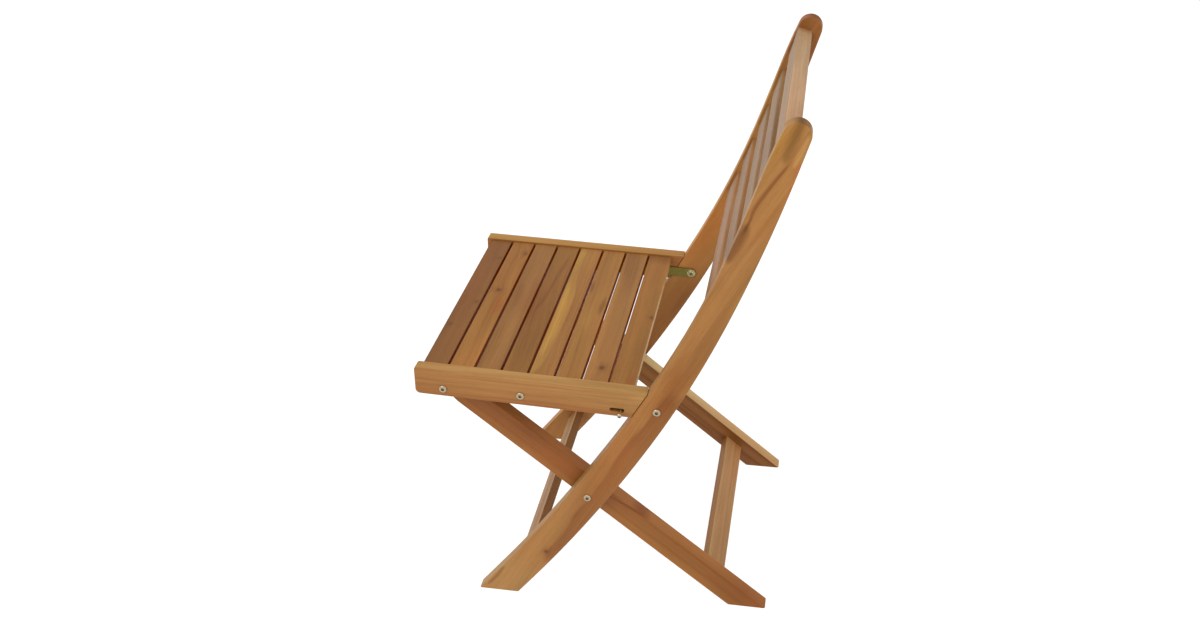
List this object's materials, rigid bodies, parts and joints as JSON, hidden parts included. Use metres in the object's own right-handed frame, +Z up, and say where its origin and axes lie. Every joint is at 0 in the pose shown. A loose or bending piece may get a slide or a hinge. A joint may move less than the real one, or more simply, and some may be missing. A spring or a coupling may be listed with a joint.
{
  "type": "folding garden chair",
  "caption": "Folding slatted wooden garden chair with curved back stiles, crossed rear legs, a slatted seat hung between side rails, and steel link straps.",
  "frame": {"origin": "on the floor, under the centre of the bounding box of the open chair", "axes": "+Z up; the sitter faces -Y, so the back leans towards +Y; +X is the sitter's left"},
  "size_m": [0.4916, 0.5996, 0.9035],
  "materials": {
    "acacia_frame": "oiled, satin",
    "acacia_seat": "oiled, satin",
    "acacia_back": "oiled, satin",
    "bright_zinc": "bright zinc plate",
    "yellow_zinc": "yellow passivated zinc plate"
  },
  "bodies": {
    "back_frame": {"stile_left": "acacia_frame", "stile_right": "acacia_frame", "crest_rail": "acacia_back", "back_slat_1": "acacia_back", "back_slat_2": "acacia_back", "back_slat_3": "acacia_back", "back_slat_4": "acacia_back", "front_rung": "acacia_frame", "cross_bolts": "bright_zinc", "cross_nuts": "bright_zinc", "cross_spacers": "bright_zinc", "strap_rear_bolts": "bright_zinc"},
    "rear_legs": {"rear_leg_left": "acacia_frame", "rear_leg_right": "acacia_frame", "rear_rung": "acacia_frame"},
    "seat": {"seat_rail_left": "acacia_frame", "seat_rail_right": "acacia_frame", "seat_slat_1": "acacia_seat", "seat_slat_2": "acacia_seat", "seat_slat_3": "acacia_seat", "seat_slat_4": "acacia_seat", "seat_slat_5": "acacia_seat", "seat_slat_6": "acacia_seat", "seat_slat_7": "acacia_seat", "seat_slat_8": "acacia_seat", "front_bolts": "bright_zinc", "front_nuts": "bright_zinc", "front_spacers": "bright_zinc", "strap_front_bolts": "bright_zinc", "strap_front_nuts": "bright_zinc"},
    "strap_left": {"strap_left": "yellow_zinc", "strap_cap_left": "bright_zinc"},
    "strap_right": {"strap_right": "yellow_zinc", "strap_cap_right": "bright_zinc"},
    "lock_left": {"lock_pin_left": "bright_zinc", "lock_clip_left": "bright_zinc"},
    "lock_right": {"lock_pin_right": "bright_zinc", "lock_clip_right": "bright_zinc"}
  },
  "joints": [
    {"name": "legs_fold", "type": "hinge", "parent": "back_frame", "child": "rear_legs", "pos_m": [0, -0.02745, 0.2324], "axis": [1, 0, 0], "range_deg": [-66, 0]},
    {"name": "seat_tilt", "type": "hinge", "parent": "rear_legs", "child": "seat", "pos_m": [0, -0.253, 0.42955], "axis": [1, 0, 0], "range_deg": [0, 131]},
    {"name": "strap_left_pivot", "type": "hinge", "parent": "seat", "child": "strap_left", "pos_m": [0.20645, -0.12655, 0.42825], "axis": [1, 0, 0], "range_deg": [-159.2, 0]},
    {"name": "strap_right_pivot", "type": "hinge", "parent": "seat", "child": "strap_right", "pos_m": [-0.20645, -0.12655, 0.42825], "axis": [1, 0, 0], "range_deg": [-159.2, 0]},
    {"name": "lock_left_slide", "type": "slide", "parent": "seat", "child": "lock_left", "axis": [0, -0.9992, 0.0407], "range_m": [0, 0.015]},
    {"name": "lock_right_slide", "type": "slide", "parent": "seat", "child": "lock_right", "axis": [0, -0.9992, 0.0407], "range_m": [0, 0.015]}
  ],
  "couplings": [
    {"joint": "seat_tilt", "follows": "legs_fold", "ratio": -1.9838},
    {"joint": "strap_left_pivot", "follows": "legs_fold", "ratio": 2.4104},
    {"joint": "strap_right_pivot", "follows": "legs_fold", "ratio": 2.4104}
  ]
}
